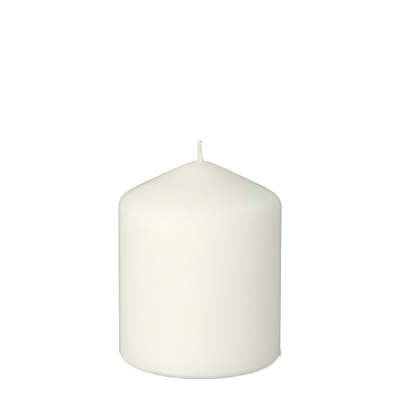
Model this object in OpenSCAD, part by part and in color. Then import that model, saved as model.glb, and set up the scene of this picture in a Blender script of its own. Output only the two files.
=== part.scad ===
// Pillar candle: a squat wax cylinder with a blunt conical top and a braided cotton wick.
// The origin is at the middle of the flat foot, +Z runs up the wick, and all sizes are in millimetres.

/* [Wax body] */
// Diameter of the wax
body_d = 80; // [60:1:110]
// Height of the wax from the foot to the top of the crown
body_h = 99; // [70:0.5:160]
// Slope of the conical top in degrees below level
top_slope = 27.5; // [18:0.5:38]
// Radius of the blunt crown under the wick
crown_r = 19; // [14:0.5:30]
// Radius of the haunch, the gentle curve from the cone down to the shoulder
haunch_r = 40; // [20:1:60]
// Angle in degrees through which the haunch turns
haunch_turn = 8; // [2:1:12]
// Radius of the shoulder between the haunch and the side
shoulder_r = 6; // [3:0.5:12]
// Radius of the rounded edge at the foot
foot_r = 3.8; // [1:0.1:8]

/* [Wax drawn up the wick] */
// Radius of the hollow curve from the crown up to the wick
collar_r = 2.5; // [1:0.1:4]
// Thickness of the wax at the rim of the collar
collar_wall = 0.15; // [0.1:0.05:0.6]

/* [Wick] */
// Diameter of the wick
wick_d = 2.2; // [1.8:0.1:3]
// Length of wick that stands free above the collar
wick_free = 9.8; // [5:0.1:14]
// Sideways lean of the tip
wick_lean = 0.8; // [0:0.1:2]
// Depth of the cut end inside the foot
wick_recess = 1; // [0.5:0.5:4]

/* [Braid] */
// Strands that wind each way round the wick
strands = 4; // [2:2:6]
// Thickness of one strand
strand_d = 0.8; // [0.6:0.05:0.9]
// Rise of a strand in one whole turn
braid_pitch = 6.4; // [5:0.2:9]
// Height by which a strand swings out and in as it crosses the others
weave_swing = 0.14; // [0.05:0.01:0.2]
// Length over which the wax that fills the braid thins out above the collar
wax_fade = 2.5; // [0.5:0.5:4]
// Length over which the cut tip rounds off
tip_round = 0.6; // [0.2:0.1:1.5]

/* [Hidden] */
$fn = 96;

body_r = body_d / 2;
wick_r = wick_d / 2;

// The crown's arc, its centre on the axis, meets the cone where both slope alike
crown_z = body_h - crown_r;
crown_edge = [0, crown_z] + crown_r * [sin(top_slope), cos(top_slope)];

// The shoulder's arc touches the side and the haunch, and the haunch touches the cone
haunch_slope = top_slope + haunch_turn;
shoulder_x = body_r - shoulder_r;
haunch_x = shoulder_x + shoulder_r * sin(haunch_slope) - haunch_r * sin(haunch_slope);
haunch_top_x = haunch_x + haunch_r * sin(top_slope);
haunch_z = crown_edge.y - (haunch_top_x - crown_edge.x) * tan(top_slope) - haunch_r * cos(top_slope);
shoulder_z = haunch_z + (haunch_r - shoulder_r) * cos(haunch_slope);
haunch_steps = 4;
haunch_arc = [
    for (i = [0 : haunch_steps])
        let (slope = haunch_slope - haunch_turn * i / haunch_steps)
        [haunch_x, haunch_z] + haunch_r * [sin(slope), cos(slope)]
];

// The collar's hollow arc touches the crown's arc and stands upright at the rim
collar_x = wick_r + collar_wall + collar_r;
collar_span = crown_r + collar_r;
collar_z = crown_z + sqrt(collar_span ^ 2 - collar_x ^ 2);

// Each disc stands this much proud of what it touches, so that the two cross instead of grazing
hair = 0.001;

// The braid starts inside the shank and has rings and sides enough for its crossings
braid_root = 0.5;
rings_per_crossing = 6;
sides = 40;
wick_top = collar_z + wick_free;
crossing = braid_pitch / (2 * strands);
rings = ceil((wick_free + braid_root) / crossing * rings_per_crossing);
ring_step = (wick_free + braid_root) / rings;
strand_r = strand_d / 2;
strand_x = wick_r - strand_r - weave_swing;
strand_tilt = atan2(2 * PI * strand_x, braid_pitch);
// Narrowing of the waxed root inside the shank and of the cut tip, as shares of the radius
root_share = 0.97;
tip_share = 0.7;

// The half section of the wax below the collar: sides and haunch, with a disc in each rounded corner
module body_section() {
    polygon([
        [0, 0],
        [body_r - foot_r, 0],
        [body_r, foot_r],
        [body_r, shoulder_z],
        each haunch_arc,
        crown_edge,
        [0, crown_z]
    ]);
    translate([body_r - foot_r, foot_r])
        circle(foot_r);
    translate([shoulder_x, shoulder_z])
        circle(shoulder_r + hair);
    translate([0, crown_z])
        intersection() {
            circle(crown_r + hair);
            translate([0, -2 * crown_r])
                square([2 * crown_r, 4 * crown_r]);
        }
}

// The wax between the axis and the collar's hollow arc
module collar_section()
    difference() {
        polygon([
            [0, crown_z],
            [collar_x, collar_z],
            [0, collar_z]
        ]);
        translate([collar_x, collar_z])
            circle(collar_r + hair);
    }

// One pour of wax round the wick, which fills its bore from foot to collar
module wax_body()
    color("ivory")
        difference() {
            rotate_extrude() {
                body_section();
                collar_section();
            }
            translate([0, 0, -1])
                cylinder(h = collar_z + 2, d = wick_d);
        }

// A share that eases from 0 to 1 as t goes from 0 to 1
function ease(t) =
    let (u = min(1, max(0, t)))
    u * u * (3 - 2 * u);

// Sideways place of the wick's middle at a height, which curves away from the collar up to the tip
function wick_x(z) = -wick_lean * (max(0, z - collar_z) / wick_free) ^ 2;

// Where the ray that lies off degrees from a strand's middle leaves that strand, or 0 past its side.
// The strand runs at a slant, so its level section is an ellipse, wider round the wick.
function strand_reach(off, middle) =
    let (
        q = cos(off) ^ 2 + (sin(off) * cos(strand_tilt)) ^ 2,
        root = (middle * cos(off)) ^ 2 - q * (middle ^ 2 - strand_r ^ 2)
    )
    root < 0 || cos(off) < 0 ? 0 : (middle * cos(off) + sqrt(root)) / q;

// Radius of the braid: half the strands wind each way, and at each crossing they swap over and under.
// One column of strands faces straight ahead, with the points of the Vs in the grooves beside it.
function braid_radius(angle, z) =
    let (
        turn = 360 * z / braid_pitch,
        swing = weave_swing * cos(strands * turn),
        reaches = [
            for (i = [0 : strands - 1], way = [-1, 1])
                let (middle = way * turn + 360 * i / strands)
                strand_reach(angle - middle, strand_x + way * swing)
        ]
    )
    max(strand_x, max(reaches));

// Radius of the wick with the wax that fills the braid low down and the rounding of its cut tip
function wick_radius(angle, z) =
    let (
        bare = ease((z - collar_z) / wax_fade),
        woven = braid_radius(angle, z),
        cut = max(0, 1 - (wick_top - z) / tip_round)
    )
    (wick_r * root_share * (1 - bare) + woven * bare) * (1 - (1 - tip_share) * cut ^ 2);

// The braided stretch: rings of points up the wick, closed by a fan at each end.
// Each cell between four points is split along the diagonal that lies further out, so that ridges stay whole.
module braid() {
    root_z = collar_z - braid_root;
    radii = [
        for (k = [0 : rings], j = [0 : sides - 1])
            wick_radius(360 * j / sides, root_z + k * ring_step)
    ];
    points = [
        for (k = [0 : rings], j = [0 : sides - 1])
            let (
                z = root_z + k * ring_step,
                angle = 360 * j / sides,
                r = radii[k * sides + j]
            )
            [wick_x(z) + r * cos(angle), r * sin(angle), z]
    ];
    low = len(points);
    high = low + 1;
    skin = [
        for (k = [0 : rings - 1], j = [0 : sides - 1])
            let (
                a = k * sides + j,
                b = k * sides + (j + 1) % sides,
                c = a + sides,
                d = b + sides
            )
            each radii[a] + radii[d] > radii[b] + radii[c]
                ? [[a, c, d], [a, d, b]]
                : [[a, c, b], [b, c, d]]
    ];
    ends = [
        for (j = [0 : sides - 1])
            let (next = (j + 1) % sides)
            each [[low, j, next], [high, rings * sides + next, rings * sides + j]]
    ];
    polyhedron(concat(points, [[0, 0, root_z], [wick_x(wick_top), 0, wick_top]]), concat(skin, ends));
}

// The cotton wick from its cut end in the foot, through the wax and out of the collar
module wick()
    color("cornsilk") {
        translate([0, 0, wick_recess])
            cylinder(h = collar_z - wick_recess, d = wick_d);
        braid();
    }

wax_body();
wick();
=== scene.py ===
"""Dresses the pillar candle: smooth ivory wax, a braided cotton wick and a plain pale studio."""

import logging
import math
from dataclasses import dataclass
from enum import Enum

import bpy
import numpy as np
from mathutils import Matrix, Vector
from numpy.typing import NDArray


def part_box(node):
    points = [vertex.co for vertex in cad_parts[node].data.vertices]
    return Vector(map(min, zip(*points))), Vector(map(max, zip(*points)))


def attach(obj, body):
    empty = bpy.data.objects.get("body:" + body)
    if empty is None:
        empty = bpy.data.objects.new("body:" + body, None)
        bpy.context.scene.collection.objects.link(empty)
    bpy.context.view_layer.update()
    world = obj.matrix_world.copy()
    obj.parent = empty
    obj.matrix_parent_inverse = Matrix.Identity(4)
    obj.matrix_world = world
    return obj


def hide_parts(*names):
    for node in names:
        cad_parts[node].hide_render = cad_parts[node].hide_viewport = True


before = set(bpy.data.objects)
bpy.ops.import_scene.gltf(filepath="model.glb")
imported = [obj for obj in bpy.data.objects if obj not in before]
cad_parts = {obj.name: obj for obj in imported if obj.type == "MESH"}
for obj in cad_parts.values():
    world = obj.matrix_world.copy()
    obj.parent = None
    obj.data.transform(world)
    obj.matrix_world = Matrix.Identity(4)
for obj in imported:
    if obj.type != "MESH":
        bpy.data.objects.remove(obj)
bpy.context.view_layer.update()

MM = 0.001
FULL_TURN = 2 * math.pi
PATTERN_MAP = "pattern"
CANDLE_MIDDLE = 50 * MM
RIGHTWARD = np.array([1.0, 0.0, 0.0])

Array = NDArray[np.float64]
Indices = NDArray[np.int64]
Colour = tuple[float, float, float]
Pair = tuple[float, float]
Stops = tuple[Pair, ...]
Socket = bpy.types.NodeSocket
Material = bpy.types.Material
Object = bpy.types.Object
log = logging.getLogger("pillar_candle")


# Surfaces


@dataclass
class Skin:
    """A closed surface: its points, its faces and the pattern coordinates of each face's corners."""

    points: Array
    quads: Indices
    quad_map: Array
    triangles: Indices
    triangle_map: Array


def blend(low: Array | float, high: Array | float, share: Array) -> Array:
    """Ease from low to high by 3 s squared minus 2 s cubed, where s is the share held from 0 to 1."""
    held = np.clip(share, 0.0, 1.0)
    return low + (high - low) * held**2 * (3 - 2 * held)


def round_angles(sides: int) -> Array:
    """Angles evenly round a circle, from 0 and without the full turn."""
    return FULL_TURN * np.arange(sides) / sides


def level_ring(sides: int, radius: float, height: float = 0.0) -> Array:
    """Points evenly round a level circle: (radius cos a, radius sin a, height) at each angle a."""
    angle = round_angles(sides)
    return np.stack([np.cos(angle) * radius, np.sin(angle) * radius, np.full(sides, height)], axis=1)


def line(start: Pair, stop: Pair, count: int) -> Array:
    """Radii and heights on a line, without its end: start plus (stop - start) times i / count."""
    share = np.arange(count)[:, None] / count
    return np.asarray(start) + (np.asarray(stop) - np.asarray(start)) * share


def arc(centre: Pair, radius: float, start: float, stop: float, count: int) -> Array:
    """Radii and heights on an arc, without its end: centre plus radius times (cos a, sin a)."""
    angle = start + (stop - start) * np.arange(count) / count
    return np.asarray(centre) + radius * np.stack([np.cos(angle), np.sin(angle)], axis=1)


def ring_grid(rows: int, columns: int) -> tuple[Indices, Array]:
    """Quads over a grid of points whose columns close into a ring.

    Formula: the face at row i and column j takes the points (i, j), (i, j + 1), (i + 1, j + 1), (i + 1, j),
    with the column after the last counted as the first.

    Args:
        rows: Rows of points.
        columns: Columns of points.

    Returns:
        The quads as point indices, and their corners' pattern coordinates: the share of the way round,
        and the row.
    """
    row, column = np.meshgrid(np.arange(rows - 1), np.arange(columns), indexing="ij")
    corner_rows = np.stack([row, row, row + 1, row + 1], axis=-1).reshape(-1, 4)
    corner_columns = np.stack([column, column + 1, column + 1, column], axis=-1).reshape(-1, 4)
    quads = corner_rows * columns + corner_columns % columns
    coordinates = np.stack([corner_columns / columns, corner_rows.astype(float)], axis=-1)
    return quads, coordinates


def end_fans(lows: Array, highs: Array, steps: int, sides: int) -> tuple[Indices, Array]:
    """Triangles that close both ends of each of several tubes with a fan round a middle point.

    Formula: the middle points follow all the rings' points, first the low ends' and then the high ends'.

    Args:
        lows: The second pattern coordinate at each tube's low end.
        highs: The second pattern coordinate at each tube's high end.
        steps: Rings in a tube.
        sides: Points in a ring.

    Returns:
        The triangles, low ends first, and their corners' pattern coordinates.
    """
    count = len(lows)
    column = np.arange(sides)
    following = (column + 1) % sides
    bottoms = count * steps * sides + np.arange(count)
    tops = bottoms + count
    starts = np.arange(count)[:, None] * steps * sides
    ends = starts + (steps - 1) * sides
    low_fans = np.stack(np.broadcast_arrays(bottoms[:, None], starts + following, starts + column), axis=-1)
    high_fans = np.stack(np.broadcast_arrays(tops[:, None], ends + column, ends + following), axis=-1)
    low_turns = np.stack([column + 0.5, column + 1, column], axis=-1) / sides
    high_turns = np.stack([column + 0.5, column, column + 1], axis=-1) / sides
    turns = np.concatenate([np.tile(low_turns, (count, 1)), np.tile(high_turns, (count, 1))])
    along = np.repeat(np.concatenate([lows, highs]), sides)
    coordinates = np.stack([turns, np.repeat(along[:, None], 3, axis=1)], axis=-1)
    return np.concatenate([low_fans.reshape(-1, 3), high_fans.reshape(-1, 3)]), coordinates


def sweep(paths: Array, hints: Array, out: Array | float, across: Array | float, sides: int) -> Skin:
    """Carry a ring of points along each of several paths, and close both ends of each with a fan.

    Formula: the ring's point at angle a is the path's point, plus out times cos a along the hint made
    square to the path, plus across times sin a along the direction square to both.

    Args:
        paths: Paths by points by the three coordinates.
        hints: The direction that out takes, of a shape that broadcasts to the paths'.
        out: Half size along the hint, by path, point and side.
        across: Half size across it, the same way.
        sides: Points in a ring.

    Returns:
        The tubes as one skin. The second pattern coordinate is the way along a tube in millimetres.
    """
    count, steps, _ = paths.shape
    tangents = np.gradient(paths, axis=1)
    tangents /= np.linalg.norm(tangents, axis=2, keepdims=True)
    first = hints - np.sum(hints * tangents, axis=2, keepdims=True) * tangents
    first /= np.linalg.norm(first, axis=2, keepdims=True)
    second = np.cross(tangents, first)
    angle = round_angles(sides)
    shape = (count, steps, sides)
    along_first = (np.broadcast_to(out, shape) * np.cos(angle))[..., None]
    along_second = (np.broadcast_to(across, shape) * np.sin(angle))[..., None]
    rings = paths[:, :, None] + along_first * first[:, :, None] + along_second * second[:, :, None]

    travel = np.linalg.norm(np.diff(paths, axis=1), axis=2) / MM
    travel = np.concatenate([np.zeros((count, 1)), np.cumsum(travel, axis=1)], axis=1)
    quads, coordinates = ring_grid(steps, sides)
    offsets = np.arange(count)[:, None, None] * steps * sides
    all_quads = (quads[None] + offsets).reshape(-1, 4)
    turns = np.broadcast_to(coordinates[None, :, :, 0], (count, *quads.shape))
    lengths = travel[:, coordinates[:, :, 1].astype(int)]
    quad_map = np.stack([turns, lengths], axis=-1).reshape(-1, 4, 2)

    triangles, triangle_map = end_fans(travel[:, 0], travel[:, -1], steps, sides)
    points = np.concatenate([rings.reshape(-1, 3), paths[:, 0], paths[:, -1]])
    return Skin(points, all_quads, quad_map, triangles, triangle_map)


def join(skins: list[Skin]) -> Skin:
    """Put several skins into one, each still closed by itself.

    Args:
        skins: The skins in order.

    Returns:
        One skin with all their points and faces.
    """
    offsets = np.cumsum([0] + [len(skin.points) for skin in skins[:-1]])
    return Skin(
        np.concatenate([skin.points for skin in skins]),
        np.concatenate([skin.quads + offset for skin, offset in zip(skins, offsets)]),
        np.concatenate([skin.quad_map for skin in skins]),
        np.concatenate([skin.triangles + offset for skin, offset in zip(skins, offsets)]),
        np.concatenate([skin.triangle_map for skin in skins]),
    )


def make_object(name: str, skin: Skin, material: Material) -> Object:
    """Turn a skin into a smooth-shaded object at the origin.

    Args:
        name: The object's name.
        skin: Its surface.
        material: Its finish.

    Returns:
        The object, linked to the scene.
    """
    mesh = bpy.data.meshes.new(name)
    mesh.vertices.add(len(skin.points))
    mesh.vertices.foreach_set("co", skin.points.astype(np.float32).ravel())
    corners = np.concatenate([skin.quads.ravel(), skin.triangles.ravel()])
    mesh.loops.add(len(corners))
    mesh.loops.foreach_set("vertex_index", corners.astype(np.int32))
    quad_starts = 4 * np.arange(len(skin.quads))
    triangle_starts = 4 * len(skin.quads) + 3 * np.arange(len(skin.triangles))
    starts = np.concatenate([quad_starts, triangle_starts])
    mesh.polygons.add(len(starts))
    mesh.polygons.foreach_set("loop_start", starts.astype(np.int32))
    mesh.update(calc_edges=True)
    layer = mesh.uv_layers.new(name=PATTERN_MAP)
    coordinates = np.concatenate([skin.quad_map.reshape(-1, 2), skin.triangle_map.reshape(-1, 2)])
    layer.data.foreach_set("uv", coordinates.astype(np.float32).ravel())
    mesh.polygons.foreach_set("use_smooth", np.ones(len(starts), dtype=bool))
    mesh.validate()
    mesh.materials.append(material)
    piece = bpy.data.objects.new(name, mesh)
    bpy.context.scene.collection.objects.link(piece)
    return piece


# Finishes


@dataclass(frozen=True)
class Noise:
    """A cloudy pattern: its scale, its levels of detail, and how strong the finer levels are."""

    scale: float
    detail: float
    roughness: float


@dataclass(frozen=True)
class Relief:
    """A bump in a surface: its strength and its height."""

    strength: float
    height: float


class NodeTree:
    """A material's or world's node tree, with short calls that add linked nodes."""

    def __init__(self, owner: Material | bpy.types.World) -> None:
        """Start with an empty tree.

        Args:
            owner: The material or world that the tree belongs to.
        """
        owner.use_nodes = True
        self.tree = owner.node_tree
        self.tree.nodes.clear()

    def add(self, kind: str, inputs: dict[str | int, object] | None = None,
            **settings: object) -> bpy.types.Node:
        """Add a node.

        Args:
            kind: The node's type, without its ShaderNode start.
            inputs: What its sockets take, by name or number: a value, or another node's output.
            settings: Values for its own settings.

        Returns:
            The node.
        """
        node = self.tree.nodes.new("ShaderNode" + kind)
        for name, value in settings.items():
            setattr(node, name, value)
        for name, value in (inputs or {}).items():
            if isinstance(value, Socket):
                self.tree.links.new(value, node.inputs[name])
            else:
                node.inputs[name].default_value = value
        return node

    def finish(self, shader: bpy.types.Node, kind: str = "OutputMaterial") -> None:
        """Link a shader to the tree's output."""
        self.add(kind, {"Surface": shader.outputs[0]})

    def axes(self, place: Socket) -> bpy.types.NodeOutputs:
        """A place's X, Y and Z."""
        return self.add("SeparateXYZ", {"Vector": place}).outputs

    def spread(self, source: Socket, span: Pair = (0.0, 1.0), values: Pair = (0.0, 1.0)) -> Socket:
        """Map a value from one span to another, and hold it within that."""
        names = ("Value", "From Min", "From Max", "To Min", "To Max")
        return self.add("MapRange", dict(zip(names, (source, *span, *values)))).outputs["Result"]

    def combine(self, operation: str, first: Socket, second: Socket, kind: str = "Math") -> Socket:
        """Combine two numbers, or two colours when the kind is VectorMath, by an operation."""
        return self.add(kind, {0: first, 1: second}, operation=operation).outputs[0]

    def ramp(self, source: Socket, stops: Stops) -> Socket:
        """Turn a share from 0 to 1 into a grey value that flows smoothly from stop to stop.

        Args:
            source: The share.
            stops: Shares and the values that they take, in rising order.

        Returns:
            The value.
        """
        node = self.add("ValToRGB", {0: source})
        node.color_ramp.interpolation = "B_SPLINE"
        elements = node.color_ramp.elements
        elements.remove(elements[1])
        elements[0].position = stops[0][0]
        elements[0].color = (*[stops[0][1]] * 3, 1)
        for place, value in stops[1:]:
            elements.new(place).color = (*[value] * 3, 1)
        return node.outputs[0]

    def mix_colours(self, share: Socket, first: Colour | Socket, second: Colour) -> Socket:
        """Mix two colours by a share, which is 0 for the first and 1 for the second."""
        start = (*first, 1) if isinstance(first, tuple) else first
        return self.add("Mix", {0: share, 6: start, 7: (*second, 1)}, data_type="RGBA").outputs[2]

    def noise(self, place: Socket, pattern: Noise) -> Socket:
        """The value of a cloudy pattern at a place."""
        inputs = {"Scale": pattern.scale, "Detail": pattern.detail, "Roughness": pattern.roughness}
        return self.add("TexNoise", {"Vector": place} | inputs).outputs["Fac"]

    def bump(self, source: Socket, relief: Relief, under: Socket | None = None) -> Socket:
        """Raise a surface by a pattern.

        Args:
            source: The pattern.
            relief: How much it raises the surface.
            under: The normals of another bump that it lies on.

        Returns:
            The normals.
        """
        inputs = {"Height": source, "Strength": relief.strength, "Distance": relief.height}
        if under:
            inputs["Normal"] = under
        return self.add("Bump", inputs).outputs["Normal"]


@dataclass(frozen=True)
class WaxFinish:
    """Satin ivory paraffin wax that light sinks into."""

    collar_height: float
    name: str = "ivory_wax"
    pale: Colour = (0.909, 0.893, 0.836)
    deep: Colour = (0.894, 0.879, 0.817)
    cloud: Noise = Noise(55.0, 3.0, 0.55)
    cloud_span: Pair = (0.35, 0.65)
    grain: Noise = Noise(1500.0, 4.0, 0.6)
    grain_span: Pair = (0.3, 0.7)
    grain_relief: Relief = Relief(0.3, 0.01 * MM)
    ripple: Noise = Noise(160.0, 2.0, 0.5)
    ripple_relief: Relief = Relief(0.25, 0.05 * MM)
    roughness: Pair = (0.66, 0.76)
    refraction: float = 1.44
    rim_gloss: float = 0.6
    rim_roughness: float = 0.18
    rim_facing: Pair = (0.73, 0.93)
    rubbed_height: float = 3.2 * MM
    rubbed_share: float = 0.65
    glow: float = 1.0
    glow_reach: Colour = (1.0, 0.97, 0.93)
    glow_depth: float = 12 * MM
    thin_depth: float = 0.4 * MM
    thinning: Pair = (-6 * MM, -1.5 * MM)
    # Painted shade: a darker colour on the film of wax along the wick's two sides, more on the left.
    film: Colour = (0.69, 0.69, 0.595)
    side_shade_span: Pair = (-1.4 * MM, 1.6 * MM)
    side_shade_stops: Stops = (
        (0.0, 0.95), (0.2, 0.9), (0.36, 0.45), (0.48, 0.0), (0.68, 0.0), (0.83, 0.42), (1.0, 0.42),
    )
    film_rise: Pair = (-2.6 * MM, 2.6 * MM)
    side_shade_rise_stops: Stops = (
        (0.0, 0.0), (0.07, 0.0), (0.14, 0.5), (0.27, 0.82), (0.5, 0.84), (0.75, 1.0), (1.0, 1.0),
    )
    # Painted shading by height: a tint above 1 is painted light on the haunch, below 1 painted shade on the
    # shoulder.
    painted_shading_span: Pair = (70 * MM, 95 * MM)
    painted_shading_stops: Stops = (
        (0.0, 0.5), (0.2, 0.5), (0.3, 0.38), (0.4, 0.34), (0.46, 0.47), (0.51, 0.79), (0.57, 0.77),
        (0.66, 0.65), (0.8, 0.53), (1.0, 0.5),
    )
    painted_shade_tint: Colour = (0.85, 0.85, 0.89)
    painted_light_tint: Colour = (1.15, 1.135, 1.055)

    def from_collar(self, span: Pair) -> Pair:
        """Turn heights above the collar into heights above the foot."""
        return self.collar_height + span[0], self.collar_height + span[1]

    def colour(self, nodes: NodeTree, place: Socket, axes: bpy.types.NodeOutputs) -> Socket:
        """Make the colour, which is a little cloudy.

        Shading is painted in by height: painted light makes the wax paler and warmer on the haunch,
        and painted shade makes it deeper and cooler on the shoulder below it. Painted shade also darkens
        the film of wax on the wick's two sides, more on the left.

        Args:
            nodes: The material's nodes.
            place: The place on the candle.
            axes: The same place, split.

        Returns:
            The colour.
        """
        cloudiness = nodes.spread(nodes.noise(place, self.cloud), self.cloud_span)
        wax = nodes.mix_colours(cloudiness, self.pale, self.deep)
        # Painted shading: the wax is tinted paler and warmer on the haunch, deeper and cooler on the
        # shoulder.
        rise = nodes.spread(axes["Z"], self.painted_shading_span)
        painted_shading = nodes.mix_colours(nodes.ramp(rise, self.painted_shading_stops), self.painted_shade_tint, self.painted_light_tint)
        shaded_wax = nodes.combine("MULTIPLY", wax, painted_shading, kind="VectorMath")
        # Painted shade on the film of wax at the wick's two sides, darker on the left, rising in around the
        # collar.
        across = nodes.spread(axes["X"], self.side_shade_span)
        above = nodes.spread(axes["Z"], self.from_collar(self.film_rise))
        sides = nodes.ramp(across, self.side_shade_stops)
        side_shade_share = nodes.combine("MULTIPLY", sides, nodes.ramp(above, self.side_shade_rise_stops))
        return nodes.mix_colours(side_shade_share, shaded_wax, self.film)

    def build(self) -> Material:
        """Make the wax, with a faint grain and ripple.

        Its moulded skin is glossy at a slant, and less so where the foot is rubbed. Light sinks in less far
        in the thin film on the wick, above the collar.

        Returns:
            The material.
        """
        material = bpy.data.materials.new(self.name)
        nodes = NodeTree(material)
        place = nodes.add("TexCoord").outputs["Object"]
        axes = nodes.axes(place)
        grain = nodes.noise(place, self.grain)
        ripples = nodes.bump(nodes.noise(place, self.ripple), self.ripple_relief)
        depths = (self.glow_depth, self.thin_depth)
        slant = nodes.add("LayerWeight").outputs["Facing"]
        rim = nodes.spread(slant, self.rim_facing, (0.0, self.rim_gloss))
        worn = nodes.spread(axes["Z"], (0.0, self.rubbed_height), (self.rubbed_share, 1.0))
        nodes.finish(nodes.add("BsdfPrincipled", {
            "Base Color": self.colour(nodes, place, axes),
            "Roughness": nodes.spread(grain, self.grain_span, self.roughness),
            "IOR": self.refraction,
            "Normal": nodes.bump(grain, self.grain_relief, ripples),
            "Subsurface Weight": self.glow,
            "Subsurface Radius": self.glow_reach,
            "Subsurface Scale": nodes.spread(axes["Z"], self.from_collar(self.thinning), depths),
            "Coat Weight": nodes.combine("MULTIPLY", rim, worn),
            "Coat Roughness": self.rim_roughness,
        }))
        return material


@dataclass(frozen=True)
class CottonFinish:
    """Cotton yarn, glazed with wax low down and dry at the tip."""

    wick_top: float
    name: str = "wick_cotton"
    waxed_depth: float = 4.5 * MM
    dry_depth: float = 1.2 * MM
    # Painted shade: the darker colour painted on the wick's left side.
    painted_shade_left: Colour = (0.64, 0.64, 0.56)
    waxed: Colour = (0.93, 0.91, 0.79)
    dry: Colour = (0.98, 0.98, 0.96)
    side_span: Pair = (-1 * MM, 0.8 * MM)
    roughness: Pair = (0.5, 0.9)
    sheen: Pair = (0.1, 1.0)
    fibres: Noise = Noise(2.0, 4.0, 0.65)
    fibre_stretch: tuple[float, float, float] = (9.0, 0.8, 1.0)
    fibre_relief: Relief = Relief(0.5, 0.03 * MM)
    glow: float = 0.2
    glow_reach: Colour = (1.0, 0.95, 0.8)
    glow_depth: float = 0.3 * MM

    def build(self) -> Material:
        """Make the cotton: fibres along each strand, glossier and deeper in colour where wax has soaked in.

        Its left side is painted darker than its right: painted shade.

        Returns:
            The material.
        """
        material = bpy.data.materials.new(self.name)
        nodes = NodeTree(material)
        axes = nodes.axes(nodes.add("TexCoord").outputs["Object"])
        drying = (self.wick_top - self.waxed_depth, self.wick_top - self.dry_depth)
        dryness = nodes.spread(axes["Z"], drying)
        # Painted shade: the wick's left side is painted darker than its right.
        side = nodes.spread(axes["X"], self.side_span)
        waxed = nodes.mix_colours(side, self.painted_shade_left, self.waxed)
        along = nodes.add("UVMap", uv_map=PATTERN_MAP).outputs["UV"]
        stretched = nodes.add("Mapping", {"Vector": along, "Scale": self.fibre_stretch}).outputs["Vector"]
        nodes.finish(nodes.add("BsdfPrincipled", {
            "Base Color": nodes.mix_colours(dryness, waxed, self.dry),
            "Roughness": nodes.spread(dryness, values=self.roughness),
            "Normal": nodes.bump(nodes.noise(stretched, self.fibres), self.fibre_relief),
            "Subsurface Weight": self.glow,
            "Subsurface Radius": self.glow_reach,
            "Subsurface Scale": self.glow_depth,
            "Sheen Weight": nodes.spread(dryness, values=self.sheen),
        }))
        return material


@dataclass(frozen=True)
class ThreadFinish:
    """A single cotton thread whose loose end is dark."""

    darkening_height: float
    name: str = "thread_cotton"
    darkening_fade: float = 0.15 * MM
    root_colour: Colour = (0.93, 0.93, 0.89)
    end_colour: Colour = (0.13, 0.125, 0.11)
    roughness: float = 0.85
    sheen: float = 0.2

    def build(self) -> Material:
        """Make the thread: pale where it leaves the wick and dark towards its end.

        Returns:
            The material.
        """
        material = bpy.data.materials.new(self.name)
        nodes = NodeTree(material)
        axes = nodes.axes(nodes.add("TexCoord").outputs["Object"])
        # Darker towards the thread's end and over its knot.
        darkening = nodes.spread(axes["Z"], (self.darkening_height - self.darkening_fade, self.darkening_height))
        nodes.finish(nodes.add("BsdfPrincipled", {
            "Base Color": nodes.mix_colours(darkening, self.root_colour, self.end_colour),
            "Roughness": self.roughness,
            "Sheen Weight": self.sheen,
        }))
        return material


# The candle


@dataclass(frozen=True)
class WickLine:
    """The middle line of the wick, straight in the wax and leaning gently above it."""

    collar_height: float
    top: float
    lean: float = 0.88 * MM

    def shift(self, height: Array) -> Array:
        """How far the middle shifts along X: minus the lean times the squared share of the free length."""
        share = np.maximum(height - self.collar_height, 0.0) / (self.top - self.collar_height)
        return -self.lean * share**2

    def points(self, height: Array) -> Array:
        """The wick's middle at some heights, as X, Y and Z."""
        return np.stack([self.shift(height), np.zeros_like(height), height], axis=-1)


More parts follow.
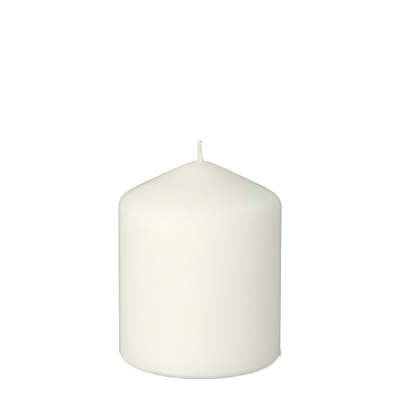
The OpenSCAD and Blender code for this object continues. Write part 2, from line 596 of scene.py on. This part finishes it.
@dataclass
class WaxBody:
    """The wax: a turned form with a rounded foot and shoulder, a cone, a crown and a collar at the wick.

    Each number of rows is how many rings of points that stretch of the half section gets.
    """

    radius: float
    collar_height: float
    wick_radius: float
    wick_line: WickLine
    slope: float = math.radians(27.5)
    crown_radius: float = 19 * MM
    haunch_radius: float = 40 * MM
    haunch_turn: float = math.radians(8)
    shoulder_radius: float = 6 * MM
    foot_radius: float = 3.8 * MM
    collar_radius: float = 2.4 * MM
    collar_wall: float = 0.32 * MM
    mouth_radius: float = 0.25 * MM
    soaked_depth: float = 16 * MM
    film_top: float = 2.2 * MM
    film_front: float = 1.15 * MM
    film_rise: float = 3.6 * MM
    film_sides: Pair = (1.06 * MM, 0.7 * MM)
    film_side_rises: Pair = (1.9 * MM, 5.6 * MM)
    film_rounding: float = 0.2
    film_end_loss: float = 0.9
    unevenness: float = 0.035 * MM
    waves: tuple[tuple[float, float, float, float], ...] = (
        (1.0, 2.0, 1.7, 0.4), (0.6, 3.0, -2.9, 2.1), (0.4, 5.0, 4.3, 5.0),
    )
    even_foot: float = 0.3 * MM
    even_crown: Pair = (0.86, 0.96)
    columns: int = 320
    bore_rows: int = 14
    mouth_rows: int = 5
    underside_rows: int = 24
    foot_rows: int = 22
    side_rows: int = 60
    shoulder_rows: int = 24
    haunch_rows: int = 10
    cone_rows: int = 32
    crown_rows: int = 16
    collar_rows: int = 20
    film_rows: int = 60

    def film_section(self) -> Array:
        """The half section of the film of wax on the front of the free wick.

        Formula: the radius eases from the collar's rim to the film's front, and near the film's top it is
        multiplied by the root of 1 minus the end loss times the square of the share of the rounding.

        Returns:
            Rows of radius and height.
        """
        share = np.linspace(0.0, 1.0, self.film_rows)
        above = (self.wick_line.top - self.film_top - self.collar_height) * share
        end = np.clip((share - 1 + self.film_rounding) / self.film_rounding, 0.0, 1.0)
        radius = blend(self.wick_radius + self.collar_wall, self.film_front, above / self.film_rise)
        radius *= np.sqrt(1 - self.film_end_loss * end**2)
        return np.stack([radius, self.collar_height + above], axis=1)

    def section(self) -> Array:
        """The half section, from the bore's end down the bore, out, up the side and up the wick.

        Formula: straight lines and arcs, each of which touches the next, and then a film of wax that
        thins up the wick and rounds off. Above the bore's end, wax has soaked right through the wick.

        Returns:
            Rows of radius and height.
        """
        collar_x = self.wick_radius + self.collar_wall + self.collar_radius
        collar_span = self.crown_radius + self.collar_radius
        crown_z = self.collar_height - math.sqrt(collar_span**2 - collar_x**2)
        crown_end = math.atan2(self.collar_height - crown_z, collar_x)
        cone_normal = math.pi / 2 - self.slope
        shoulder_normal = cone_normal - self.haunch_turn
        shoulder_x = self.radius - self.shoulder_radius
        haunch_x = shoulder_x + (self.shoulder_radius - self.haunch_radius) * math.cos(shoulder_normal)
        crown_edge = (
            self.crown_radius * math.cos(cone_normal),
            crown_z + self.crown_radius * math.sin(cone_normal),
        )
        haunch_top = haunch_x + self.haunch_radius * math.cos(cone_normal)
        haunch_edge = (haunch_top, crown_edge[1] - (haunch_top - crown_edge[0]) * math.tan(self.slope))
        haunch_z = haunch_edge[1] - self.haunch_radius * math.sin(cone_normal)
        shoulder_z = haunch_z + (self.haunch_radius - self.shoulder_radius) * math.sin(shoulder_normal)
        mouth = self.mouth_radius
        mouth_x = self.wick_radius + mouth
        foot = self.foot_radius
        foot_x = self.radius - foot
        bore_end = self.collar_height - self.soaked_depth
        return np.concatenate([
            line((self.wick_radius, bore_end), (self.wick_radius, mouth), self.bore_rows),
            arc((mouth_x, mouth), mouth, math.pi, 1.5 * math.pi, self.mouth_rows),
            line((mouth_x, 0.0), (foot_x, 0.0), self.underside_rows),
            arc((foot_x, foot), foot, -math.pi / 2, 0.0, self.foot_rows),
            line((self.radius, foot), (self.radius, shoulder_z), self.side_rows),
            arc((shoulder_x, shoulder_z), self.shoulder_radius, 0.0, shoulder_normal, self.shoulder_rows),
            arc((haunch_x, haunch_z), self.haunch_radius, shoulder_normal, cone_normal, self.haunch_rows),
            line(haunch_edge, crown_edge, self.cone_rows),
            arc((0.0, crown_z), self.crown_radius, cone_normal, crown_end, self.crown_rows),
            arc((collar_x, self.collar_height), self.collar_radius, math.pi + crown_end, math.pi,
                self.collar_rows),
            self.film_section(),
        ])

    def swell(self, angle: Array, height: Array) -> Array:
        """How far the surface stands out of the true round, as cast wax does a little.

        Formula: a sum of slow waves, each its size times the sine of its turns times the angle, plus its
        climb times the height in radii, plus its start. It fades out at the foot and towards the crown.

        Args:
            angle: Angles round the candle.
            height: Heights above the foot.

        Returns:
            Distances outwards.
        """
        rise = height / self.radius
        wave = sum(
            size * np.sin(turns * angle + climb * rise + start)
            for size, turns, climb, start in self.waves
        )
        first, last = self.even_crown
        foot = blend(0.0, 1.0, (height - self.even_foot) / self.foot_radius)
        crown = blend(1.0, 0.0, (height / self.collar_height - first) / (last - first))
        return self.unevenness * wave * foot * crown

    def build(self, finish: Material) -> Object:
        """Turn the half section about the axis and close both its ends.

        Formula: x is (radius + swell) cos a plus the wick's lean, y is (radius + swell) sin a, z is the
        height. On the wick's two sides the film first thins out until it only fills the braid's valleys,
        and then sinks below the strands.

        Args:
            finish: The wax material.

        Returns:
            The wax.
        """
        section = self.section()
        radius, turn = np.meshgrid(section[:, 0], round_angles(self.columns), indexing="ij")
        height = np.broadcast_to(section[:, 1:2], radius.shape)
        outward = radius + self.swell(turn, height)
        valley, sunk = self.film_sides
        first, last = self.film_side_rises
        above = height - self.collar_height
        side = blend(outward, valley, above / first)
        side = np.minimum(blend(side, sunk, (above - first) / (last - first)), outward)
        sideways = np.cos(turn) * side + self.wick_line.shift(height)
        rings = np.stack([sideways, outward * np.sin(turn), height], axis=-1).reshape(-1, 3)
        points = np.concatenate([rings, self.wick_line.points(section[[0, -1], 1])])
        quads, quad_map = ring_grid(len(section), self.columns)
        last_row = np.array([len(section) - 1.0])
        fans, fan_map = end_fans(np.zeros(1), last_row, len(section), self.columns)
        return make_object("candle_wax", Skin(points, quads, quad_map, fans, fan_map), finish)


@dataclass
class FootFlake:
    """A small tongue of wax at the foot, on the right, which fills the rounded edge there and stands out."""

    body_radius: float
    bearing: float = math.radians(-2)
    low: float = 1.05 * MM
    height: float = 3.9 * MM
    root_depth: float = 0.3 * MM
    stand_off: float = 0.66 * MM
    stand_off_share: float = 0.58
    draw_back: float = 0.3 * MM
    inner_depth: float = 0.7 * MM
    inner_slant: float = 2.2 * MM
    half_width: float = 2.2 * MM
    narrowing: float = 0.3
    sway: float = 0.008
    sway_turn: float = 5.0
    bluntness: int = 8
    end_size: float = 0.05
    steps: int = 36
    sides: int = 24

    def build(self, finish: Material) -> Object:
        """Sweep an oval down from inside the wall to just above the table.

        Formula: the outer edge eases from inside the wall out to the stand-off and draws back at the end,
        the inner edge stays inside the rounded foot, and the oval lies between the two. Both its sizes
        round off at the ends by the root of 1 minus a high power of the way from the middle.

        Args:
            finish: The wax material.

        Returns:
            The flake.
        """
        share = np.linspace(0.0, 1.0, self.steps)
        outer = blend(-self.root_depth, self.stand_off, share / self.stand_off_share)
        outer -= self.draw_back * share**4
        inner = -self.inner_depth - self.inner_slant * share**2
        radius = self.body_radius + (outer + inner) / 2
        height = self.low + self.height * (1 - share)
        turn = self.bearing + self.sway * np.sin(self.sway_turn * share)
        path = np.stack([radius * np.cos(turn), radius * np.sin(turn), height], axis=1)[None]
        hints = np.array([math.cos(self.bearing), math.sin(self.bearing), 0.0])
        fullness = np.sqrt(np.clip(1 - np.abs(2 * share - 1) ** self.bluntness, self.end_size, 1.0))
        out = ((outer - inner) / 2 * fullness)[None, :, None]
        across = (self.half_width * fullness * (1 - self.narrowing * share))[None, :, None]
        return make_object("foot_flake", sweep(path, hints, out, across, self.sides), finish)


@dataclass
class FrayedTip:
    """The loose fibres at the wick's cut end, which gather in two tufts."""

    wick_line: WickLine
    cut_height: float
    seed: int
    count: int = 70
    left_share: float = 0.58
    middles: Pair = (-0.6 * MM, 0.65 * MM)
    spreads: Pair = (0.28 * MM, 0.16 * MM)
    depth_spread: float = 0.36 * MM
    root_depths: Pair = (0.1 * MM, 0.9 * MM)
    lengths: Pair = (0.6 * MM, 1.2 * MM)
    middle_length: float = 0.9 * MM
    overshoot: float = 0.15 * MM
    bows: Pair = (0.1 * MM, 0.15 * MM)
    wave: float = 0.03 * MM
    wave_turns: float = 1.4
    radii: Pair = (0.014 * MM, 0.028 * MM)
    thinning: float = 0.55
    steps: int = 9
    sides: int = 5

    def skin(self) -> Skin:
        """Sweep all the fibres.

        Formula: each fibre rises from its root by its length, and bows outwards by the square of the share
        of that length, with a slight wave. Fibres in the middle of a tuft are longer.

        Returns:
            The fibres.
        """
        random = np.random.default_rng(self.seed)
        left = random.random(self.count) < self.left_share
        middle = np.where(left, *self.middles)
        spread = np.where(left, *self.spreads)
        root_x = middle + spread * random.standard_normal(self.count)
        root_y = self.depth_spread * random.standard_normal(self.count)
        root_z = self.cut_height - random.uniform(*self.root_depths, self.count)
        closeness = np.exp(-(((root_x - middle) / spread) ** 2) / 2)
        length = random.uniform(*self.lengths, self.count) + self.middle_length * closeness
        length = np.minimum(length, self.wick_line.top + self.overshoot - root_z)
        bow_x = random.normal(0.0, self.bows[0], self.count)
        bow_y = random.normal(0.0, self.bows[1], self.count)
        share = np.linspace(0.0, 1.0, self.steps)[None]
        start = random.uniform(0, FULL_TURN, (self.count, 1))
        wave = self.wave * np.sin(FULL_TURN * share * self.wave_turns + start)
        height = root_z[:, None] + length[:, None] * share
        x = root_x[:, None] + bow_x[:, None] * share**2 + wave + self.wick_line.shift(height)
        y = root_y[:, None] + bow_y[:, None] * share**2 - wave
        size = random.uniform(*self.radii, (self.count, 1)) * (1 - self.thinning * share**3)
        paths = np.stack([x, y, height], axis=-1)
        return sweep(paths, RIGHTWARD, size[..., None], size[..., None], self.sides)


class Way(Enum):
    """The two ways that strands wind round the wick."""

    LEFT = -1
    RIGHT = 1


@dataclass
class BraidedWick:
    """A round braid of cotton strands with a rod of waxed cotton inside the candle and a frayed tip."""

    radius: float
    root: float
    wick_line: WickLine
    strands: int = 4
    strand_radius: float = 0.4 * MM
    strand_width: float = 1.05
    strand_root: float = 0.5 * MM
    pitch: float = 6.4 * MM
    swing: float = 0.14 * MM
    flatness: float = 1.13
    cut_depth: float = 1.3 * MM
    cut_spread: float = 0.4 * MM
    taper: float = 0.45
    taper_length: float = 0.7 * MM
    steps_per_pitch: int = 90
    sides: int = 24
    plies: int = 5
    ply_depth: float = 0.07
    ply_pitch: float = 2.6 * MM
    core_radius: float = 0.75 * MM
    core_depth: float = 3 * MM
    core_end_loss: float = 0.8
    core_bluntness: int = 8
    core_steps: int = 16
    core_sides: int = 32
    stub_length: float = 1.5 * MM
    rod_inset: float = 0.35 * MM
    rod_steps: int = 24
    rod_sides: int = 48
    seed: int = 11

    def strand_paths(self, heights: Array) -> tuple[Array, Array]:
        """The middle lines of all the strands over some heights.

        Formula: a strand's angle grows by a turn in each pitch, one way or the other, and its distance from
        the wick's middle swings by the cosine of strands times that turn, so that it goes over and under.
        The braid is a little flat: its places along X lie further out by the flatness.

        Args:
            heights: Heights above the foot, for each strand.

        Returns:
            The paths, and the directions straight out of the wick along them.
        """
        ways = np.repeat([way.value for way in Way], self.strands)[:, None]
        places = np.tile(np.arange(self.strands), len(Way))[:, None]
        turn = FULL_TURN * heights / self.pitch
        angle = ways * turn + FULL_TURN * places / self.strands
        middle = self.radius - self.strand_radius - self.swing
        distance = middle + ways * self.swing * np.cos(self.strands * turn)
        outward = np.stack([np.cos(angle), np.sin(angle), np.zeros_like(angle)], axis=-1)
        away = distance[..., None] * outward * np.array([self.flatness, 1.0, 1.0])
        return self.wick_line.points(heights) + away, outward

    def strand_skin(self, low: float, tops: Array) -> Skin:
        """The strands from one height up to each strand's own top.

        Formula: a ring whose radius ripples plies times round, with the ripples winding along the strand,
        and which eases down to the taper over the last of its length.

        Args:
            low: Where the strands start.
            tops: Where each one ends.

        Returns:
            The strands.
        """
        steps = int(self.steps_per_pitch * (tops.max() - low) / self.pitch)
        share = np.linspace(0.0, 1.0, steps)[None]
        heights = low + (tops[:, None] - low) * share
        paths, outward = self.strand_paths(heights)
        twist = FULL_TURN * heights / self.ply_pitch
        ripple = 1 + self.ply_depth * np.cos(self.plies * round_angles(self.sides) + twist[..., None])
        taper = blend(1.0, self.taper, (heights - tops[:, None] + self.taper_length) / self.taper_length)
        size = self.strand_radius * ripple * taper[..., None]
        return sweep(paths, outward, size, size * self.strand_width, self.sides)

    def rod_skin(self, low: float, high: float) -> Skin:
        """The waxed rod that fills the bore, a plain cylinder between two heights."""
        path = self.wick_line.points(np.linspace(low, high, self.rod_steps))[None]
        return sweep(path, RIGHTWARD, self.radius, self.radius, self.rod_sides)

    def core_skin(self, low: float, high: float) -> Skin:
        """The core yarns inside the braid near its tip, as one bundle with a blunt end.

        Formula: the radius is the core's times the root of 1 minus the end loss times a high power of the
        share of the length.

        Args:
            low: Where the bundle starts.
            high: Where it ends.

        Returns:
            The bundle.
        """
        share = np.linspace(0.0, 1.0, self.core_steps)
        path = self.wick_line.points(low + (high - low) * share)[None]
        size = self.core_radius * np.sqrt(1 - self.core_end_loss * share**self.core_bluntness)
        size = size[None, :, None]
        return sweep(path, RIGHTWARD, size * self.flatness, size, self.core_sides)

    def build(self, finish: Material, wax: WaxBody) -> Object:
        """Put the rod, the strands, their cut ends in the foot and the loose fibres together.

        Args:
            finish: The cotton material.
            wax: The wax that holds the wick.

        Returns:
            The wick.
        """
        collar = self.wick_line.collar_height
        cut = self.wick_line.top - self.cut_depth
        count = len(Way) * self.strands
        random = np.random.default_rng(self.seed + 1)
        tops = cut + random.uniform(-self.cut_spread, self.cut_spread, count)
        skins = [
            self.rod_skin(self.root + self.rod_inset, collar - wax.soaked_depth),
            self.strand_skin(collar - self.strand_root, tops),
            self.core_skin(self.wick_line.top - self.core_depth, cut),
            self.strand_skin(self.root, np.full(count, self.root + self.stub_length)),
            FrayedTip(self.wick_line, cut, self.seed).skin(),
        ]
        return make_object("braided_wick", join(skins), finish)


@dataclass
class LooseThread:
    """One thread that has sprung out of the wick near its tip and ends in a small dark knot."""

    wick_line: WickLine
    root: tuple[float, float, float] = (0.45 * MM, -0.60 * MM, -3.4 * MM)
    end: tuple[float, float, float] = (1.52 * MM, -0.60 * MM, -1.53 * MM)
    bow: float = 0.12 * MM
    radius: float = 0.045 * MM
    steps: int = 24
    sides: int = 12
    knot_radius: float = 0.31 * MM
    knot_length: float = 0.35 * MM
    knot_end: float = 0.1
    knot_steps: int = 25
    knot_sides: int = 32

    def build(self) -> Object:
        """Sweep the thread from inside the wick out to its end, and put the knot round that end.

        Formula: the path goes from root to end and bows out by half a sine wave. The knot's radius at the
        share cos a of its length along the thread is the knot radius times sin a.

        Returns:
            The thread.
        """
        share = np.linspace(0.0, 1.0, self.steps)[:, None]
        root = np.asarray(self.root)
        path = root + (np.asarray(self.end) - root) * share
        path[:, 0:1] += self.bow * np.sin(math.pi * share)
        path[:, 2] += self.wick_line.top
        path[:, 0] += self.wick_line.shift(path[:, 2])
        thread = sweep(path[None], RIGHTWARD, self.radius, self.radius, self.sides)

        step = path[-1] - path[-2]
        along = step / np.linalg.norm(step)
        angle = np.linspace(math.pi - self.knot_end, self.knot_end, self.knot_steps)
        middles = path[-1] + self.knot_length * np.cos(angle)[:, None] * along
        size = (self.knot_radius * np.sin(angle))[None, :, None]
        knot = sweep(middles[None], RIGHTWARD, size, size, self.knot_sides)
        finish = ThreadFinish(float(path[-1, 2]) - self.knot_length).build()
        return make_object("loose_thread", join([thread, knot]), finish)


# The studio


@dataclass(frozen=True)
class SoftBox:
    """The one lamp: square and soft, in front of the candle on the left, and aimed at its middle."""

    name: str = "key_lamp"
    bearing: float = math.radians(-23.0)
    elevation: float = math.radians(17.0)
    distance: float = 1.6
    size: float = 1.0
    power: float = 11.3
    colour: Colour = (1.0, 0.987, 0.985)

    def build(self) -> None:
        """Hang the lamp."""
        lamp = bpy.data.lights.new(self.name, "AREA")
        lamp.shape = "SQUARE"
        lamp.size = self.size
        lamp.energy = self.power
        lamp.color = self.colour
        holder = bpy.data.objects.new(self.name, lamp)
        bpy.context.scene.collection.objects.link(holder)
        away = Vector((
            math.sin(self.bearing) * math.cos(self.elevation),
            -math.cos(self.bearing) * math.cos(self.elevation),
            math.sin(self.elevation),
        ))
        holder.location = Vector((0.0, 0.0, CANDLE_MIDDLE)) + away * self.distance
        holder.rotation_euler = (-away).to_track_quat("-Z", "Y").to_euler()


@dataclass(frozen=True)
class PhotoCamera:
    """The camera, set to see the candle at the photograph's angle, place and size."""

    frame_px: float = 400.0
    focal_px: float = 2438.5
    middle_row_px: float = 258.97
    distance: float = 1.2
    elevation: float = math.radians(15.1)
    roll: float = math.radians(0.153)
    sensor: float = 36.0

    def build(self) -> None:
        """Place the camera so that the middle of the candle falls on its row of the picture."""
        data = bpy.data.cameras.new("camera")
        data.sensor_width = self.sensor
        data.lens = self.focal_px / self.frame_px * self.sensor
        camera = bpy.data.objects.new("camera", data)
        bpy.context.scene.collection.objects.link(camera)
        bpy.context.scene.camera = camera
        place = Vector((
            0.0,
            -self.distance * math.cos(self.elevation),
            CANDLE_MIDDLE + self.distance * math.sin(self.elevation),
        ))
        dip = self.elevation - math.atan((self.middle_row_px - self.frame_px / 2) / self.focal_px)
        turn = Matrix.Rotation(math.pi / 2 - dip, 4, "X") @ Matrix.Rotation(self.roll, 4, "Z")
        camera.matrix_world = Matrix.Translation(place) @ turn


@dataclass(frozen=True)
class Studio:
    """A pale floor, a white surround, a tray that shows only in gloss, and a soft lamp."""

    floor_radius: float = 6.0
    floor_sides: int = 64
    floor_colour: Colour = (0.8, 0.8, 0.8)
    floor_lift: float = 0.55
    floor_glow: float = 0.025
    fill_low: Colour = (0.935, 0.97, 1.0)
    fill_high: Colour = (1.0, 0.985, 0.87)
    fill_right: Colour = (0.895, 0.985, 1.08)
    right_span: Pair = (0.6, 1.0)
    fill: Pair = (0.648, 0.653)
    tray_inner: float = 42 * MM
    tray_outer: float = 2.6
    tray_level: float = 0.3 * MM
    tray_wall: float = 0.4
    tray_sides: int = 96

    def background_share(self, nodes: NodeTree) -> Socket:
        """1 for camera, gloss and glass rays, which show the background, and 0 for the others."""
        rays = nodes.add("LightPath").outputs
        shown = nodes.combine("MAXIMUM", rays["Is Camera Ray"], rays["Is Glossy Ray"])
        return nodes.combine("MAXIMUM", shown, rays["Is Transmission Ray"])

    def lay(self, name: str, points: Array, faces: list[list[int]], material: Material) -> Object:
        """Lay an object round the candle.

        Args:
            name: The object's name.
            points: Its points.
            faces: Its faces as point indices.
            material: Its finish.

        Returns:
            The object, linked to the scene.
        """
        mesh = bpy.data.meshes.new(name)
        mesh.from_pydata(points.tolist(), [], faces)
        mesh.materials.append(material)
        piece = bpy.data.objects.new(name, mesh)
        bpy.context.scene.collection.objects.link(piece)
        return piece

    def build_floor(self) -> None:
        """Lay the floor, a white disc that keeps the candle's shadow."""
        material = bpy.data.materials.new("pale_floor")
        nodes = NodeTree(material)
        strength = nodes.spread(self.background_share(nodes), values=(self.floor_glow, self.floor_lift))
        matt = nodes.add("BsdfDiffuse", {"Color": (*self.floor_colour, 1)})
        glow = nodes.add("Emission", {"Strength": strength})
        nodes.finish(nodes.add("AddShader", {0: matt.outputs[0], 1: glow.outputs[0]}))
        rim = level_ring(self.floor_sides, self.floor_radius)
        floor = self.lay("pale_floor", rim, [list(range(self.floor_sides))], material)

    def build_tray(self) -> None:
        """Lay a black tray that shows only in gloss, so that the candle's edges stand out from the white.

        Formula: three rings of points, at the inner radius, the outer radius and the wall's top.
        """
        material = bpy.data.materials.new("black_tray")
        nodes = NodeTree(material)
        nodes.finish(nodes.add("Emission", {"Strength": 0.0}))
        points = np.concatenate([
            level_ring(self.tray_sides, self.tray_inner, self.tray_level),
            level_ring(self.tray_sides, self.tray_outer, self.tray_level),
            level_ring(self.tray_sides, self.tray_outer, self.tray_wall),
        ])
        quads, _ = ring_grid(3, self.tray_sides)
        tray = self.lay("black_tray", points, quads.tolist(), material)
        for ray in ("camera", "diffuse", "transmission", "volume_scatter", "shadow"):
            setattr(tray, "visible_" + ray, False)

    def build_world(self) -> None:
        """Surround the scene with white where it shows, and with a fill where it lights.

        The fill is warmer from above and cooler from the right.
        """
        world = bpy.data.worlds.new("studio")
        bpy.context.scene.world = world
        nodes = NodeTree(world)
        axes = nodes.axes(nodes.add("TexCoord").outputs["Generated"])
        height = nodes.spread(axes["Z"])
        rightward = nodes.spread(axes["X"], self.right_span)
        upright = nodes.mix_colours(height, self.fill_low, self.fill_high)
        fill = nodes.add("Background", {
            "Color": nodes.mix_colours(rightward, upright, self.fill_right),
            "Strength": nodes.spread(height, values=self.fill),
        })
        white = nodes.add("Background", {"Color": (1, 1, 1, 1), "Strength": 1.0})
        share = self.background_share(nodes)
        mix = nodes.add("MixShader", {0: share, 1: fill.outputs[0], 2: white.outputs[0]})
        nodes.finish(mix, "OutputWorld")

    def build(self) -> None:
        """Set the view transform, the surround, the floor, the tray and the lamp."""
        bpy.context.scene.view_settings.view_transform = "Standard"
        self.build_world()
        self.build_floor()
        self.build_tray()
        SoftBox().build()


def seat(piece: Object, slot: str, *nodes: str) -> None:
    """Make a piece ride on the candle, hide the CAD nodes that it replaces, and log its faces.

    Args:
        piece: The piece.
        slot: Not used.
        nodes: The CAD nodes that it replaces.
    """
    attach(piece, "root")
    if nodes:
        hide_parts(*nodes)
    log.info("%s: %d faces", piece.name, len(piece.data.polygons))


def main() -> None:
    """Build the camera, the candle and the studio in order."""
    logging.basicConfig(level=logging.INFO, format="%(message)s")
    PhotoCamera().build()
    _, wax_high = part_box("wax_body")
    wick_low, wick_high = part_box("wick")
    wick_radius = wick_high.y
    wick_line = WickLine(wax_high.z, wick_high.z)
    wax = WaxFinish(wax_high.z).build()
    cotton = CottonFinish(wick_high.z).build()
    body = WaxBody(wax_high.x, wax_high.z, wick_radius, wick_line)
    seat(body.build(wax), "wax", "wax_body")
    flake_wax = WaxFinish(wax_high.z, name="flake_wax", glow_depth=1.5 * MM).build()
    seat(FootFlake(body.radius).build(flake_wax), "wax")
    seat(BraidedWick(wick_radius, wick_low.z, wick_line).build(cotton, body), "cotton", "wick")
    seat(LooseThread(wick_line).build(), "cotton")
    Studio().build()


if __name__ == "__main__":
    main()
